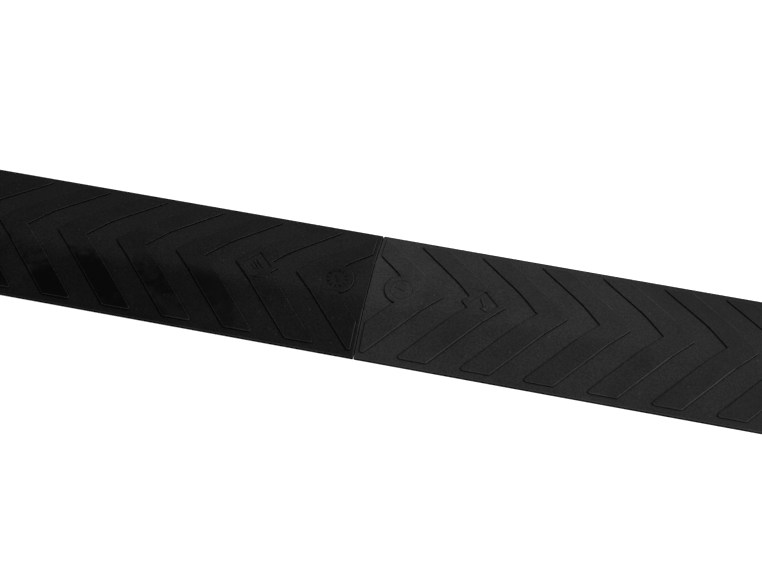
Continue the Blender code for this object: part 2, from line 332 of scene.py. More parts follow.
def is_rim(edge):
    """An edge where an upper face turns down into a wall."""
    if len(edge.link_faces) != 2 or not edge.is_convex:
        return False
    wall, top = sorted(edge.link_faces, key=lambda face: face.normal.z)
    return abs(wall.normal.z) < 0.3 and top.normal.z > 0.8


work_on(treads, "EDIT")
pick("EDGE", is_rim)
bpy.ops.mesh.bevel(offset=RIM_ROUNDING, segments=3, affect="EDGES")
work_on(treads)

# ---------------------------------------------------------------------------------------------
# Marks on the tread, moulded from inserts in the mould. The month ring with its arrow is on the
# boss at one end of the module, and a plain ring with a short bar and two dots is on the other.
# Each sunk panel has a raised sign: an arrow in one, and three bars in the other.
# ---------------------------------------------------------------------------------------------

MARK_HEIGHT = 0.0004
MARK_ROUNDING = 0.0002
SINK = 0.0002  # how far a raised mark starts inside the rubber
RING_RADIUS = 0.0109
RING_GROOVE = 0.0003
MONTH_RADIUS = 0.0088
MONTH_SIZE = 0.0033
STAMP_ARROW = (0.0085, 0.0011, math.radians(-58))  # each: length, width and turn
BOSS_BAR = (0.0075, 0.0012, math.radians(-14))
BOSS_DOT = (0.0013, 0.0009, 0.4)
DOT_HEIGHT = 0.0003
DOT_PLACES = ((-0.0063, 0.0012), (-0.0058, -0.0050))
SIGN_ARROW = (0.0150, 0.0020, math.radians(-66))
SIGN_BARS = (0.0065, 0.0095, 0.0125)
SIGN_BAR_WIDTH = 0.0019
SIGN_BAR_SPACING = 0.0036
SIGN_SLANT = math.radians(40)  # of the row of bars
SIGN_BAR_TURN = math.radians(130)  # square to the row
BARB_SHARE = 0.45  # of the arrow's length
BARB_LEAN = math.radians(38)


def bar(x, y, length, width, turn, base=TOP, height=MARK_HEIGHT, rounding=MARK_ROUNDING):
    """A raised bar centred at (x, y) and turned in plan, with its upper edges rounded."""
    low = (-length / 2, -width / 2, base - SINK)
    obj = block("bar", low, (length / 2, width / 2, base + height))
    pick("EDGE", is_rim)
    bpy.ops.mesh.bevel(offset=rounding, segments=2, affect="EDGES")
    work_on(obj)
    obj.rotation_euler.z = turn
    obj.location = (x, y, 0.0)
    return settle(obj)


def ring_groove(x):
    """The thin line around an insert, where rubber crept in beside it."""
    bpy.ops.object.select_all(action="DESELECT")
    size = {"major_radius": RING_RADIUS, "minor_radius": RING_GROOVE}
    sides = {"major_segments": 72, "minor_segments": 8}
    bpy.ops.mesh.primitive_torus_add(location=(x, 0.0, TOP), **size, **sides)
    combine(treads, settle(bpy.context.object), "DIFFERENCE")


def month(number, x):
    """A raised numeral, standing on the ring with its head outwards."""
    angle = math.radians(90 - 30 * number)
    bpy.ops.object.select_all(action="DESELECT")
    bpy.ops.object.text_add()
    text = bpy.context.object
    text.data.body = str(number)
    text.data.size = MONTH_SIZE
    text.data.extrude = (MARK_HEIGHT + SINK) / 2
    text.data.align_x = "CENTER"
    text.data.align_y = "CENTER"
    text.data.resolution_u = 3
    bpy.ops.object.convert(target="MESH")
    text = bpy.context.object
    middle = TOP + (MARK_HEIGHT - SINK) / 2
    text.rotation_euler.z = angle - math.pi / 2
    text.location = (x + MONTH_RADIUS * math.cos(angle), MONTH_RADIUS * math.sin(angle), middle)
    settle(text)
    work_on(text, "EDIT")
    bpy.ops.mesh.select_all(action="SELECT")
    bpy.ops.mesh.remove_doubles(threshold=SAME)
    bpy.ops.mesh.normals_make_consistent(inside=False)
    combine(treads, work_on(text), "UNION")


def arrow(x, y, length, width, turn, **relief):
    """A raised arrow made of a shaft and two barbs, pointing along the turn."""
    shaft = bar(x, y, length, width, turn, **relief)
    tip_x = x + length / 2 * math.cos(turn)
    tip_y = y + length / 2 * math.sin(turn)
    barb = BARB_SHARE * length
    for side in (-1, 1):
        lean = turn + math.pi - side * BARB_LEAN
        middle_x = tip_x + (barb - width) / 2 * math.cos(lean)
        middle_y = tip_y + (barb - width) / 2 * math.sin(lean)
        combine(shaft, bar(middle_x, middle_y, barb, width, lean, **relief), "UNION")
    return shaft


ring_groove(BOSS_CENTRE)
combine(treads, bar(BOSS_CENTRE, 0.0, *BOSS_BAR), "UNION")
for x, y in DOT_PLACES:
    combine(treads, bar(BOSS_CENTRE + x, y, *BOSS_DOT, height=DOT_HEIGHT), "UNION")

ring_groove(-BOSS_CENTRE)
for number in range(1, 13):
    month(number, -BOSS_CENTRE)
combine(treads, arrow(-BOSS_CENTRE, 0.0, *STAMP_ARROW), "UNION")

sign = {"base": PANEL_FLOOR, "height": 0.0009, "rounding": 0.0004}
combine(treads, arrow(PAD_CENTRE, 0.0, *SIGN_ARROW, **sign), "UNION")
for step, length in enumerate(SIGN_BARS, start=-1):
    x = -PAD_CENTRE + step * SIGN_BAR_SPACING * math.cos(SIGN_SLANT)
    y = step * SIGN_BAR_SPACING * math.sin(SIGN_SLANT)
    combine(treads, bar(x, y, length, SIGN_BAR_WIDTH, SIGN_BAR_TURN, **sign), "UNION")

combine(module, treads, "UNION", solver="MANIFOLD")

# ---------------------------------------------------------------------------------------------
# Openings in the moulding: the stepped hole for the anchor in its middle, the hollows that save
# rubber in its underside, and two dowel sockets in each end. Cores in the mould form them, so the
# hollows are tapered, and every mouth is rounded or flared.
# ---------------------------------------------------------------------------------------------

PLUG_LOW, PLUG_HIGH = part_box("right_anchor_plug")
BUSH_LOW, BUSH_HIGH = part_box("right_anchor_bush")
DOWEL_LOW, DOWEL_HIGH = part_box("rear_joint_dowel")
CLEARANCE = 0.0003
PLUG_RADIUS = (PLUG_HIGH.x - PLUG_LOW.x) / 2
COUNTERBORE_RADIUS = PLUG_RADIUS + CLEARANCE
COUNTERBORE_FLOOR = PLUG_LOW.z - CLEARANCE
BUSH_RADIUS = 0.0085
MOUTH_ROUNDING = 0.0006
SOCKET_RADIUS = (DOWEL_HIGH.z - DOWEL_LOW.z) / 2 + CLEARANCE
SOCKET_DEPTH = 0.0390
SOCKET_FLARE = 0.0008
DOWEL_AXIS_Y = (DOWEL_HIGH.y + DOWEL_LOW.y) / 2
DOWEL_AXIS_Z = (DOWEL_HIGH.z + DOWEL_LOW.z) / 2
HOLLOW_ROWS = ((-0.035, 0.022, 0.0070), (0.0, 0.036, 0.0090), (0.035, 0.022, 0.0070))
HOLLOW_COLUMNS = 6  # on each half
HOLLOW_START = JOINT + 0.0520
HOLLOW_STOP = JOINT + 0.4200
HOLLOW_RIB = 0.0080
HOLLOW_TAPER = 0.0006
HOLLOW_CORNER = 0.0025
HOLLOW_CEILING = 0.0012
CLEAR_OF_FOOT = -0.001  # where the cores start, below the underside


def quarter(radius, height, rounding, start, steps=4):
    """Rings around a quarter circle, anticlockwise from an angle in the section (out, up)."""
    rings = []
    for step in range(steps + 1):
        angle = math.radians(start + 90 * step / steps)
        out = radius + rounding * math.cos(angle)
        rings.append((out, height + rounding * math.sin(angle)))
    return rings


def turned(name, rings, sides=64, hollow=False):
    """A disc drawn on through rings of (radius, height). A hollow one is closed on its first ring."""
    radius, height = rings[0]
    fill = "NOTHING" if hollow else "NGON"
    size = {"vertices": sides, "radius": radius, "location": (0.0, 0.0, height)}
    bpy.ops.object.select_all(action="DESELECT")
    bpy.ops.mesh.primitive_circle_add(fill_type=fill, **size)
    obj = settle(bpy.context.object)
    obj.name = name
    work_on(obj, "EDIT")
    bpy.ops.mesh.select_all(action="SELECT")
    for out, up in list(rings[1:]) + ([rings[0]] if hollow else []):
        lift = {"value": (0.0, 0.0, up - height)}
        bpy.ops.mesh.extrude_region_move(TRANSFORM_OT_translate=lift)
        wide = out / radius
        bpy.ops.transform.resize(value=(wide, wide, 1.0), center_override=(0.0, 0.0, up))
        radius, height = out, up
    bpy.ops.mesh.select_all(action="SELECT")
    bpy.ops.mesh.remove_doubles(threshold=SAME)
    bpy.ops.mesh.normals_make_consistent(inside=False)
    return work_on(obj)


hole = BUSH_RADIUS + CLEARANCE
steps = [(hole + MOUTH_ROUNDING, CLEAR_OF_FOOT)]
steps += [(hole + MOUTH_ROUNDING, 0.0), (hole, MOUTH_ROUNDING), (hole, COUNTERBORE_FLOOR)]
corner = COUNTERBORE_FLOOR + MOUTH_ROUNDING
steps += quarter(COUNTERBORE_RADIUS - MOUTH_ROUNDING, corner, MOUTH_ROUNDING, -90)
mouth = quarter(COUNTERBORE_RADIUS + MOUTH_ROUNDING, TOP - MOUTH_ROUNDING, MOUTH_ROUNDING, 90)
steps += list(reversed(mouth)) + [(COUNTERBORE_RADIUS + MOUTH_ROUNDING, CLEAR_OF_TOP)]
combine(module, turned("anchor_core", steps), "DIFFERENCE", solver="MANIFOLD")

hollow_length = (HOLLOW_STOP - HOLLOW_START + HOLLOW_RIB) / HOLLOW_COLUMNS - HOLLOW_RIB
for y, across, deep in HOLLOW_ROWS:
    low = (HOLLOW_START, y - across / 2, CLEAR_OF_FOOT)
    core = block("core", low, (HOLLOW_START + hollow_length, y + across / 2, deep))
    pick("FACE", lambda face: face.normal.z > 0.9)
    taper = (1 - 2 * HOLLOW_TAPER / hollow_length, 1 - 2 * HOLLOW_TAPER / across, 1.0)
    centre = (HOLLOW_START + hollow_length / 2, y, deep)
    bpy.ops.transform.resize(value=taper, center_override=centre)
    pick("EDGE", lambda e: abs(e.verts[0].co.z - e.verts[1].co.z) > 0.001)
    bpy.ops.mesh.bevel(offset=HOLLOW_CORNER, segments=4, affect="EDGES")
    pick("EDGE", lambda e: all(abs(v.co.z - deep) < SAME for v in e.verts))
    bpy.ops.mesh.bevel(offset=HOLLOW_CEILING, segments=3, affect="EDGES")
    row = {"use_relative_offset": False, "use_constant_offset": True, "count": HOLLOW_COLUMNS}
    row["constant_offset_displace"] = (hollow_length + HOLLOW_RIB, 0.0, 0.0)
    modify(work_on(core), "ARRAY", **row)
    modify(core, "MIRROR", use_axis=(True, False, False), use_mirror_merge=False)
    combine(module, core, "DIFFERENCE", solver="MANIFOLD")

steps = [(SOCKET_RADIUS - SOCKET_FLARE, 0.0), (SOCKET_RADIUS, SOCKET_FLARE)]
steps += [(SOCKET_RADIUS, SOCKET_DEPTH - SOCKET_FLARE), (SOCKET_RADIUS + SOCKET_FLARE, SOCKET_DEPTH)]
steps += [(SOCKET_RADIUS + SOCKET_FLARE, SOCKET_DEPTH - CLEAR_OF_FOOT)]
socket = turned("socket_core", steps, sides=32)
socket.rotation_euler.y = math.pi / 2
socket.location = (MODULE_LENGTH / 2 - SOCKET_DEPTH, DOWEL_AXIS_Y, DOWEL_AXIS_Z)
settle(socket)
modify(socket, "MIRROR", use_axis=(True, True, False), use_mirror_merge=False)
work_on(socket, "EDIT")
bpy.ops.mesh.select_all(action="SELECT")
bpy.ops.mesh.normals_make_consistent(inside=False)
combine(module, work_on(socket), "DIFFERENCE", solver="MANIFOLD")

# ---------------------------------------------------------------------------------------------
# Anchor bushes: a flanged steel sleeve in each module's stepped hole, turned from bar and zinc
# plated. The anchor's head bears on its flange, so that the rubber isn't crushed.
# ---------------------------------------------------------------------------------------------

BUSH_BORE = 0.0065
FLANGE_RADIUS = (BUSH_HIGH.x - BUSH_LOW.x) / 2
FLANGE_FOOT = BUSH_LOW.z + COUNTERBORE_FLOOR
STEEL_ROUNDING = 0.0004

steps = [(BUSH_BORE, BUSH_HIGH.z - 2 * STEEL_ROUNDING)]
steps += [(BUSH_BORE + STEEL_ROUNDING / 2, BUSH_HIGH.z - STEEL_ROUNDING / 2)]
steps += [(BUSH_BORE + 2 * STEEL_ROUNDING, BUSH_HIGH.z)]
rim = FLANGE_RADIUS - STEEL_ROUNDING
steps += list(reversed(quarter(rim, BUSH_HIGH.z - STEEL_ROUNDING, STEEL_ROUNDING, 0)))
steps += list(reversed(quarter(rim, FLANGE_FOOT + STEEL_ROUNDING, STEEL_ROUNDING, -90)))
steps += [(BUSH_RADIUS + STEEL_ROUNDING / 2, FLANGE_FOOT)]
steps += [(BUSH_RADIUS, FLANGE_FOOT - STEEL_ROUNDING / 2)]
steps += [(BUSH_RADIUS, BUSH_LOW.z + STEEL_ROUNDING), (BUSH_RADIUS - STEEL_ROUNDING, BUSH_LOW.z)]
steps += [(BUSH_BORE + STEEL_ROUNDING, BUSH_LOW.z), (BUSH_BORE, BUSH_LOW.z + STEEL_ROUNDING)]
bush = turned("bush", steps, hollow=True)

# ---------------------------------------------------------------------------------------------
# Anchor plugs: a moulded rubber cap pressed into each counterbore, over the anchor's head. Two
# fine ribs grip around its skirt. Its top is dished inside a groove, with a notch at the rim where
# a screwdriver lifts it out.
# ---------------------------------------------------------------------------------------------

PLUG_TOP = PLUG_HIGH.z
PLUG_FOOT = PLUG_LOW.z
PLUG_CEILING = PLUG_TOP - 0.0042
SKIRT_INSIDE = PLUG_RADIUS - 0.0029
DISH_DEPTH = 0.0004
GROOVE_RADIUS = 0.0118
GROOVE_HALF = 0.0005
GROOVE_DEPTH = 0.0005
RIB_DROPS = (0.0042, 0.0072)  # below the plug's top
RIB_STAND = 0.00022
RIB_FOOT = 0.0006  # half its height at the skirt, and then at its crest
RIB_CREST = 0.0002
NOTCH_HALF = 0.0026
NOTCH_DEPTH = 0.0012
NOTCH_REACH = 0.0016
NOTCH_CORNER = 0.0006
CLEAR_OF_PLUG = 0.001

steps = [(0.0030, PLUG_TOP - DISH_DEPTH), (0.0070, PLUG_TOP - 0.85 * DISH_DEPTH)]
steps += [(0.0100, PLUG_TOP - 0.35 * DISH_DEPTH), (GROOVE_RADIUS - 2 * GROOVE_HALF, PLUG_TOP)]
steps += [(GROOVE_RADIUS - GROOVE_HALF, PLUG_TOP - 0.0001), (GROOVE_RADIUS, PLUG_TOP - GROOVE_DEPTH)]
steps += [(GROOVE_RADIUS + GROOVE_HALF, PLUG_TOP - 0.0001), (GROOVE_RADIUS + 2 * GROOVE_HALF, PLUG_TOP)]
rim = PLUG_RADIUS - MOUTH_ROUNDING
steps += list(reversed(quarter(rim, PLUG_TOP - MOUTH_ROUNDING, MOUTH_ROUNDING, 0)))
for drop in RIB_DROPS:
    rib = PLUG_TOP - drop
    steps += [(PLUG_RADIUS, rib + RIB_FOOT), (PLUG_RADIUS + RIB_STAND, rib + RIB_CREST)]
    steps += [(PLUG_RADIUS + RIB_STAND, rib - RIB_CREST), (PLUG_RADIUS, rib - RIB_FOOT)]
steps += list(reversed(quarter(rim, PLUG_FOOT + MOUTH_ROUNDING, MOUTH_ROUNDING, -90)))
steps += [(SKIRT_INSIDE + 0.0005, PLUG_FOOT), (SKIRT_INSIDE, PLUG_FOOT + 0.0005)]
steps += [(SKIRT_INSIDE, PLUG_CEILING - 0.0010), (SKIRT_INSIDE - 0.0010, PLUG_CEILING)]
plug = turned("plug", steps, sides=96)
low = (-NOTCH_HALF, -PLUG_RADIUS - CLEAR_OF_PLUG, PLUG_TOP - NOTCH_DEPTH)
notch = block("notch", low, (NOTCH_HALF, -PLUG_RADIUS + NOTCH_REACH, PLUG_TOP + CLEAR_OF_PLUG))
pick("EDGE", is_upright)
bpy.ops.mesh.bevel(offset=NOTCH_CORNER, segments=3, affect="EDGES")
combine(plug, work_on(notch), "DIFFERENCE")

# ---------------------------------------------------------------------------------------------
# Joint dowels: two zinc plated steel rods, bevelled at both ends, which stay in the left module
# and slide into the right one. A fine groove around the middle shows how far each one goes in.
# ---------------------------------------------------------------------------------------------

DOWEL_RADIUS = (DOWEL_HIGH.z - DOWEL_LOW.z) / 2
DOWEL_HALF = (DOWEL_HIGH.x - DOWEL_LOW.x) / 2
DOWEL_BREAK = 0.0008
DOWEL_CROWNING = 0.0003  # what the bevel's middle is rounded back by
LINE_HALF = 0.0004
LINE_DEPTH = 0.0002

half = [(DOWEL_RADIUS - DOWEL_BREAK, DOWEL_HALF)]
half += [(DOWEL_RADIUS - DOWEL_BREAK / 2, DOWEL_HALF - DOWEL_CROWNING)]
half += [(DOWEL_RADIUS, DOWEL_HALF - DOWEL_BREAK), (DOWEL_RADIUS, LINE_HALF)]
steps = [(out, -up) for out, up in half] + [(DOWEL_RADIUS - LINE_DEPTH, 0.0)] + half[::-1]
dowel = turned("dowel", steps, sides=48)
dowel.rotation_euler.y = math.pi / 2
settle(dowel)

# ---------------------------------------------------------------------------------------------
# Finish of the two mouldings: matt black recycled rubber with a fine crumb texture from the
# mould, and a grey dusty bloom. The bloom is wiped off in smoky patches, mostly on the treads and
# mostly on the left module, and the wipe also paints shade, heaviest on the front ramps and away
# from the joint. The left module is painted darker overall, as painted shade. The rims of the
# treads are painted paler, partly rubbed wear and partly painted highlight, and crevices get
# painted shade.
# ---------------------------------------------------------------------------------------------


def add(tree, kind, sockets=None, **settings):
    """A node with its settings, whose inputs get a value or a link from another node."""
    made = tree.nodes.new(kind)
    for key, value in settings.items():
        setattr(made, key, value)
    for key, value in (sockets or {}).items():
        if isinstance(value, bpy.types.NodeSocket):
            tree.links.new(value, made.inputs[key])
        else:
            made.inputs[key].default_value = value
    return made


def calculate(tree, operation, a, b=0.0):
    """The result of a Math node on two numbers or sockets."""
    return add(tree, "ShaderNodeMath", {0: a, 1: b}, operation=operation).outputs[0]


def remap(tree, value, low, high, to_low=0.0, to_high=1.0, kind="SMOOTHSTEP"):
    """A value carried from one range to another, with an eased or a straight slope."""
    limits = {"Value": value, "From Min": low, "From Max": high, "To Min": to_low, "To Max": to_high}
    return add(tree, "ShaderNodeMapRange", limits, interpolation_type=kind).outputs["Result"]


def grey(value):
    """A nearly neutral colour, a touch blue."""
    return (value, value, 1.02 * value, 1.0)


def effect(name, inputs, outputs):
    """A node group of plain numbers, and its two end nodes."""
    tree = bpy.data.node_groups.new(name, "ShaderNodeTree")
    for label, start in inputs.items():
        made = tree.interface.new_socket(label, in_out="INPUT", socket_type="NodeSocketFloat")
        made.default_value = start
    for label in outputs:
        tree.interface.new_socket(label, in_out="OUTPUT", socket_type="NodeSocketFloat")
    return tree, tree.nodes.new("NodeGroupInput").outputs, tree.nodes.new("NodeGroupOutput")


crumb, given, result = effect("crumb_grain", {"Scale": 900.0}, ("Height", "Tone", "Specks"))
place = add(crumb, "ShaderNodeTexCoord").outputs["Object"]
fine = {"Vector": place, "Scale": given["Scale"], "Detail": 4.0, "Roughness": 0.65}
fine = add(crumb, "ShaderNodeTexNoise", fine).outputs["Fac"]
coarse = calculate(crumb, "MULTIPLY", given["Scale"], 0.45)
grains = add(crumb, "ShaderNodeTexVoronoi", {"Vector": place, "Scale": coarse})
height = calculate(crumb, "ADD", fine, calculate(crumb, "MULTIPLY", grains.outputs["Distance"], 0.7))
crumb.links.new(height, result.inputs["Height"])
crumb.links.new(remap(crumb, fine, 0.32, 0.68), result.inputs["Tone"])
near = remap(crumb, grains.outputs["Distance"], 0.45, 0.15)
chance = add(crumb, "ShaderNodeSeparateColor", {"Color": grains.outputs["Color"]}).outputs[0]
picked = calculate(crumb, "GREATER_THAN", chance, 0.985)
crumb.links.new(calculate(crumb, "MULTIPLY", near, picked), result.inputs["Specks"])

bloom, given, result = effect("dusty_bloom", {"Size": 9.0, "Low": 0.4, "High": 0.6}, ("Mask",))
place = add(bloom, "ShaderNodeTexCoord").outputs["Object"]
broad = {"Vector": place, "Scale": given["Size"], "Detail": 3.0, "Distortion": 0.7}
broad = add(bloom, "ShaderNodeTexNoise", broad).outputs["Fac"]
wisps = {"Vector": place, "Scale": calculate(bloom, "MULTIPLY", given["Size"], 6.0)}
wisps = add(bloom, "ShaderNodeTexNoise", {**wisps, "Detail": 8.0, "Roughness": 0.7}).outputs["Fac"]
both = calculate(bloom, "MULTIPLY", broad, 0.62)
both = calculate(bloom, "ADD", both, calculate(bloom, "MULTIPLY", wisps, 0.38))
bloom.links.new(remap(bloom, both, given["Low"], given["High"]), result.inputs["Mask"])

# Painted shade: darkens the colour in crevices, corners and at the feet of walls, by how much of the
# surroundings is hidden.
shade, given, result = effect("dark_crevices", {"Reach": 0.002, "Low": 0.45}, ("Mask",))
around_it = {"Distance": given["Reach"]}
around_it = add(shade, "ShaderNodeAmbientOcclusion", around_it, samples=12).outputs["AO"]
shade.links.new(remap(shade, around_it, given["Low"], 0.97), result.inputs["Mask"])


def use(tree, group, **inputs):
    """Places one of the effects in a material with its own values, and gives its outputs."""
    made = add(tree, "ShaderNodeGroup", node_tree=group)
    for key, value in inputs.items():
        made.inputs[key].default_value = value
    return made.outputs


def blank_material(name, **constants):
    """A new material, its tree and its shader, with the shader's constant sockets set."""
    material = bpy.data.materials.new(name)
    material.use_nodes = True
    shader = material.node_tree.nodes["Principled BSDF"]
    for key, value in constants.items():
        shader.inputs[key.replace("_", " ")].default_value = value
    return material, material.node_tree, shader


def moulded_rubber(name, bare, dusty, rubbed, specular, wiped, fade):
    """Black rubber from bare to dusty, with rims painted paler, partly rubbed wear and partly painted
    highlight, and painted shade in its crevices.

    The wiping setting is how far the front of the treads loses its dust, heaviest on the front ramp
    and away from the joint, where it is painted shade as well as wiped dust. The fading setting is
    how far the whole module darkens over half a metre from the joint, partly lost dust and partly
    painted shade of the light falling off.
    """
    material, tree, shader = blank_material(name)
    shader.inputs["Specular IOR Level"].default_value = specular
    grain = use(tree, crumb, Scale=650.0)
    dust = use(tree, bloom, Size=7.0, Low=0.36, High=0.60)["Mask"]
    smoke = use(tree, bloom, Size=16.0, Low=0.40, High=0.56)["Mask"]
    place = add(tree, "ShaderNodeTexCoord").outputs["Object"]
    place = add(tree, "ShaderNodeSeparateXYZ", {"Vector": place}).outputs
    tread = add(tree, "ShaderNodeAttribute", attribute_name="tread_top").outputs["Fac"]
    rim = add(tree, "ShaderNodeAttribute", attribute_name="rim").outputs["Fac"]
    out = calculate(tree, "ABSOLUTE", place["X"])
    # Painted shade as well as wiped dust: the wipe is heaviest on the front ramp and away from the
    # joint.
    front = remap(tree, place["Y"], -0.010, -0.026, 0.25, 1.0)
    away = remap(tree, out, 0.02, 0.22, 0.3, 1.0)
    wipe_and_shade = calculate(tree, "MULTIPLY", calculate(tree, "MULTIPLY", front, away), smoke)
    on_tread = remap(tree, tread, 0.0, 1.0, 0.35, 1.0, "LINEAR")
    wipe_and_shade = calculate(tree, "MULTIPLY", calculate(tree, "MULTIPLY", wipe_and_shade, on_tread), wiped)
    flat = calculate(tree, "MULTIPLY", tread, 0.12)
    kept = calculate(tree, "SUBTRACT", remap(tree, dust, 0.0, 1.0, 0.72, 1.0), flat)
    # Partly dust and partly painted shade: the module darkens away from the joint.
    kept = calculate(tree, "MULTIPLY", kept, remap(tree, out, 0.0, 0.5, 1.0, 1.0 - fade, "LINEAR"))
    kept = calculate(tree, "MULTIPLY", kept, calculate(tree, "SUBTRACT", 1.0, wipe_and_shade))
    kept = calculate(tree, "MULTIPLY", kept, remap(tree, grain["Tone"], 0.0, 1.0, 0.55, 1.3))
    kept = add(tree, "ShaderNodeClamp", {"Value": kept}).outputs[0]
    colour = {"Factor": kept, 6: grey(bare), 7: grey(dusty)}
    colour = add(tree, "ShaderNodeMix", colour, data_type="RGBA").outputs[2]
    # Rims painted paler: partly rubbed wear, partly painted highlight along the edges that catch the
    # light.
    worn_and_highlit = calculate(tree, "MULTIPLY", rim, remap(tree, smoke, 0.0, 1.0, 0.8, 0.5))
    pale = calculate(tree, "MAXIMUM", worn_and_highlit, calculate(tree, "MULTIPLY", grain["Specks"], 0.35))
    colour = {"Factor": pale, 6: colour, 7: grey(rubbed)}
    colour = add(tree, "ShaderNodeMix", colour, data_type="RGBA").outputs[2]
    # Painted shade: the raised marks are painted towards bare black, for the shade around their relief.
    mark = add(tree, "ShaderNodeAttribute", attribute_name="mark").outputs["Fac"]
    colour = {"Factor": calculate(tree, "MULTIPLY", mark, 0.6), 6: colour, 7: grey(bare)}
    colour = add(tree, "ShaderNodeMix", colour, data_type="RGBA").outputs[2]
    # Painted shade in the crevices and at the feet of the tread walls, mixed towards a near-black.
    clear = use(tree, shade, Reach=0.003, Low=0.55)["Mask"]
    colour = {"Factor": clear, 6: grey(0.1 * bare), 7: colour}
    colour = add(tree, "ShaderNodeMix", colour, data_type="RGBA").outputs[2]
    tree.links.new(colour, shader.inputs["Base Color"])
    tree.links.new(remap(tree, kept, 0.0, 1.0, 0.72, 0.55, "LINEAR"), shader.inputs["Roughness"])
    bump = {"Strength": 0.35, "Distance": 0.0002, "Height": grain["Height"]}
    bump = add(tree, "ShaderNodeBump", bump).outputs["Normal"]
    tree.links.new(bump, shader.inputs["Normal"])
    return material


def strip_height(y):
    """How high the plain strip stands at a distance across from its middle."""
    ramp = EDGE_HEIGHT + (WIDTH / 2 - abs(y)) * math.tan(RAMP_ANGLE)
    return min(CROWN_HEIGHT, ramp)


def mark_faces(obj, name, test):
    """Gives a mesh a face attribute that is 1 on the faces that pass the test, and 0 elsewhere."""
    marks = obj.data.attributes.new(name, "FLOAT", "FACE")
    for face in obj.data.polygons:
        corners = [obj.data.vertices[index].co for index in face.vertices]
        marks.data[face.index].value = 1.0 if test(face, corners) else 0.0


def on_tread_top(face, corners):
    """Upper faces that stand clear of the plain strip."""
    if face.normal.z < 0.93:
        return False
    return all(co.z - strip_height(co.y) > 0.45 * TREAD_RISE for co in corners)


def on_rim(face, corners):
    """Narrow sloping faces that stand clear of the plain strip, and those along its end edges."""
    if not 0.15 < face.normal.z < 0.93:
        return False
    ends = all(abs(co.x) > MODULE_LENGTH / 2 - 2 * EDGE_ROUNDING for co in corners)
    return ends or all(co.z - strip_height(co.y) > 0.4 * TREAD_RISE for co in corners)


def smooth(obj):
    """Shades soft curves smooth, and keeps flat faces flat."""
    work_on(obj)
    bpy.ops.object.shade_smooth_by_angle(angle=math.radians(30))
    return modify(obj, "WEIGHTED_NORMAL", keep_sharp=True)


def install(master, name, body, node, material, shift):
    """A copy of a finished piece in its place, with its own mesh, which rides on a body."""
    each = master.copy()
    each.data = master.data.copy()
    each.data.name = name
    each.name = name
    bpy.context.scene.collection.objects.link(each)
    each.data.transform(Matrix.Translation(shift))
    each.data.materials.clear()
    each.data.materials.append(material)
    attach(each, body)
    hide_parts(node)
    return each


mark_faces(module, "tread_top", on_tread_top)
mark_faces(module, "rim", on_rim)
mark_faces(module, "mark", lambda face, corners: all(co.z > TOP + 0.0001 for co in corners))
smooth(module)
LEFT_MIDDLE = (PLUG_HIGH.x + PLUG_LOW.x) / 2 - MODULE_LENGTH - 2 * MODULE_LOW.x
# The left copy of the rubber is painted darker throughout than the right one, as painted shade for the
# dimmer light on the left module.
shaded_copy = moulded_rubber("rubber_dull", 0.0020, 0.0210, 0.080, 0.12, wiped=1.0, fade=0.1)
dusty = moulded_rubber("rubber_dusty", 0.0080, 0.0500, 0.110, 0.20, wiped=0.25, fade=0.7)
SQUEEZE = Vector((0.0002, 0.0, 0.0))  # how far each module is pushed into the nominal gap
left_place = Vector((LEFT_MIDDLE, 0.0, 0.0)) + SQUEEZE
right_place = Vector((MODULE_MIDDLE, 0.0, 0.0)) - SQUEEZE
install(module, "left_moulding", "left_half", "left_module", shaded_copy, left_place)
install(module, "right_moulding", "right_half", "right_module", dusty, right_place)

# ---------------------------------------------------------------------------------------------
# The small pieces in their places: the plugs in a slightly smoother rubber, and the bushes and
# dowels in zinc plated steel with a faint spangle and dull patches.
# ---------------------------------------------------------------------------------------------

plug_rubber, tree, shader = blank_material("plug_rubber_black")
shader.inputs["Specular IOR Level"].default_value = 0.25
grain = use(tree, crumb, Scale=1400.0)
dust = use(tree, bloom, Size=45.0, Low=0.38, High=0.62)["Mask"]
kept = calculate(tree, "MULTIPLY", dust, remap(tree, grain["Tone"], 0.0, 1.0, 0.7, 1.0))
colour = {"Factor": kept, 6: grey(0.009), 7: grey(0.028)}
colour = add(tree, "ShaderNodeMix", colour, data_type="RGBA").outputs[2]
tree.links.new(colour, shader.inputs["Base Color"])
tree.links.new(remap(tree, kept, 0.0, 1.0, 0.48, 0.62), shader.inputs["Roughness"])
bump = {"Strength": 0.25, "Distance": 0.0001, "Height": grain["Height"]}
tree.links.new(add(tree, "ShaderNodeBump", bump).outputs["Normal"], shader.inputs["Normal"])

zinc, tree, shader = blank_material("zinc_plated_steel", Metallic=1.0)
place = add(tree, "ShaderNodeTexCoord").outputs["Object"]
spangle = add(tree, "ShaderNodeTexVoronoi", {"Vector": place, "Scale": 420.0}).outputs["Color"]
spangle = add(tree, "ShaderNodeSeparateColor", {"Color": spangle}).outputs[0]
grain = use(tree, crumb, Scale=2200.0)
dullness = use(tree, bloom, Size=60.0, Low=0.35, High=0.65)["Mask"]
facets = remap(tree, spangle, 0.0, 1.0, 0.86, 1.0)
tone = calculate(tree, "MULTIPLY", facets, remap(tree, dullness, 0.0, 1.0, 1.0, 0.72))
colour = {"Factor": tone, 6: (0.10, 0.10, 0.10, 1), 7: (0.62, 0.63, 0.64, 1)}
colour = add(tree, "ShaderNodeMix", colour, data_type="RGBA").outputs[2]
tree.links.new(colour, shader.inputs["Base Color"])
facets = calculate(tree, "MULTIPLY", spangle, 0.06)
rough = calculate(tree, "ADD", remap(tree, dullness, 0.0, 1.0, 0.27, 0.46), facets)
tree.links.new(rough, shader.inputs["Roughness"])
bump = {"Strength": 0.12, "Distance": 0.00005, "Height": grain["Height"]}
tree.links.new(add(tree, "ShaderNodeBump", bump).outputs["Normal"], shader.inputs["Normal"])

